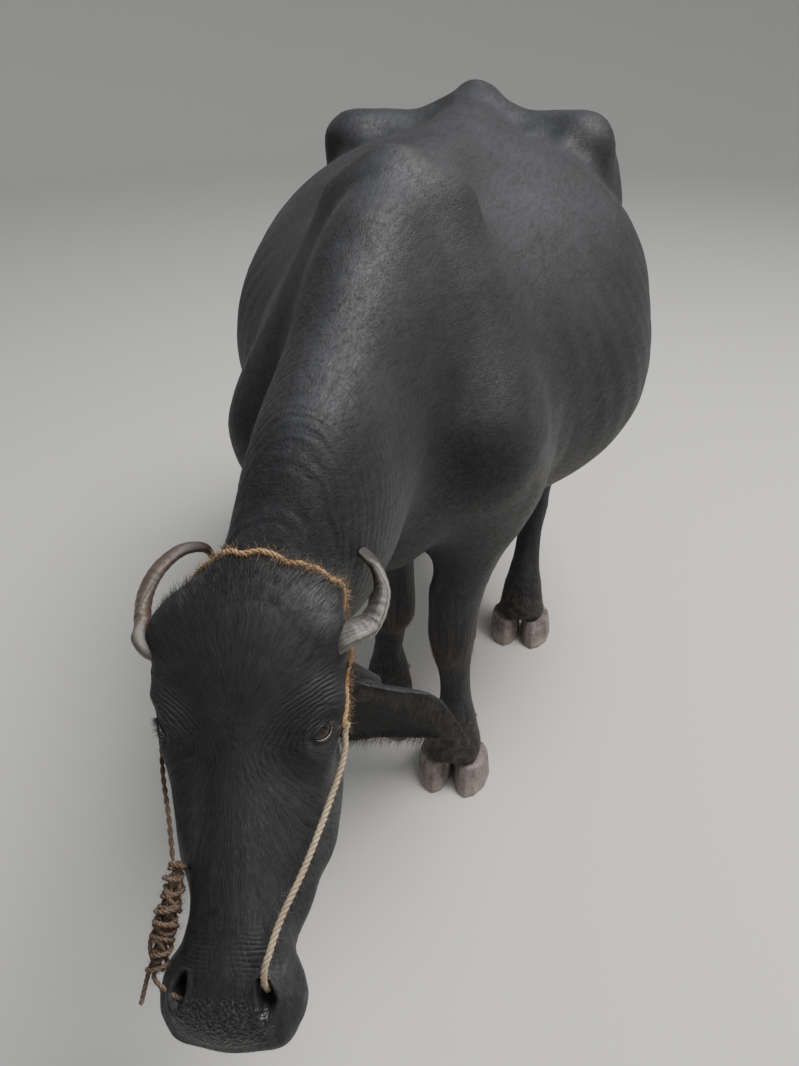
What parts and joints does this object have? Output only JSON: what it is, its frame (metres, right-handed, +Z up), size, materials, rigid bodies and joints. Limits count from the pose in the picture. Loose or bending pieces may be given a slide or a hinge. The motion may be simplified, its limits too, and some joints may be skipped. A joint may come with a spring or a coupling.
{
  "type": "water buffalo",
  "caption": "Life-size model of a black water buffalo standing with its head low, with curled horns, cloven hooves and a worn rope halter.",
  "frame": {"origin": "on the floor, under the middle of the animal's box", "axes": "+Z up, the animal faces -Y, +X is its left side"},
  "size_m": [0.8856, 2.2143, 1.2693],
  "materials": {
    "hide": "sparse short black hair over grey-black skin, dull sheen",
    "horn": "ridged grey horn, worn satin",
    "hoof": "matt grey-pink horn, dusty",
    "eye": "wet, glossy dark brown",
    "rope": "twisted plant-fibre rope, frayed",
    "hair": "coarse black-brown hair"
  },
  "bodies": {
    "root": {"head": "hide", "neck": "hide", "torso": "hide", "udder": "hide", "tail": "hide", "tail_switch": "hair", "eye_left": "eye", "eye_right": "eye", "horn_left": "horn", "horn_right": "horn", "ear_left": "hide", "ear_right": "hide", "leg_fore_left": "hide", "leg_fore_right": "hide", "leg_hind_left": "hide", "leg_hind_right": "hide", "claw_fore_left_left": "hoof", "claw_fore_left_right": "hoof", "claw_fore_right_left": "hoof", "claw_fore_right_right": "hoof", "claw_hind_left_left": "hoof", "claw_hind_left_right": "hoof", "claw_hind_right_left": "hoof", "claw_hind_right_right": "hoof", "dewclaw_fore_left_left": "hoof", "dewclaw_fore_left_right": "hoof", "dewclaw_fore_right_left": "hoof", "dewclaw_fore_right_right": "hoof", "dewclaw_hind_left_left": "hoof", "dewclaw_hind_left_right": "hoof", "dewclaw_hind_right_left": "hoof", "dewclaw_hind_right_right": "hoof", "halter_poll_rope": "rope", "halter_knot": "rope", "halter_left_rope": "rope", "halter_right_rope": "rope"}
  },
  "joints": []
}
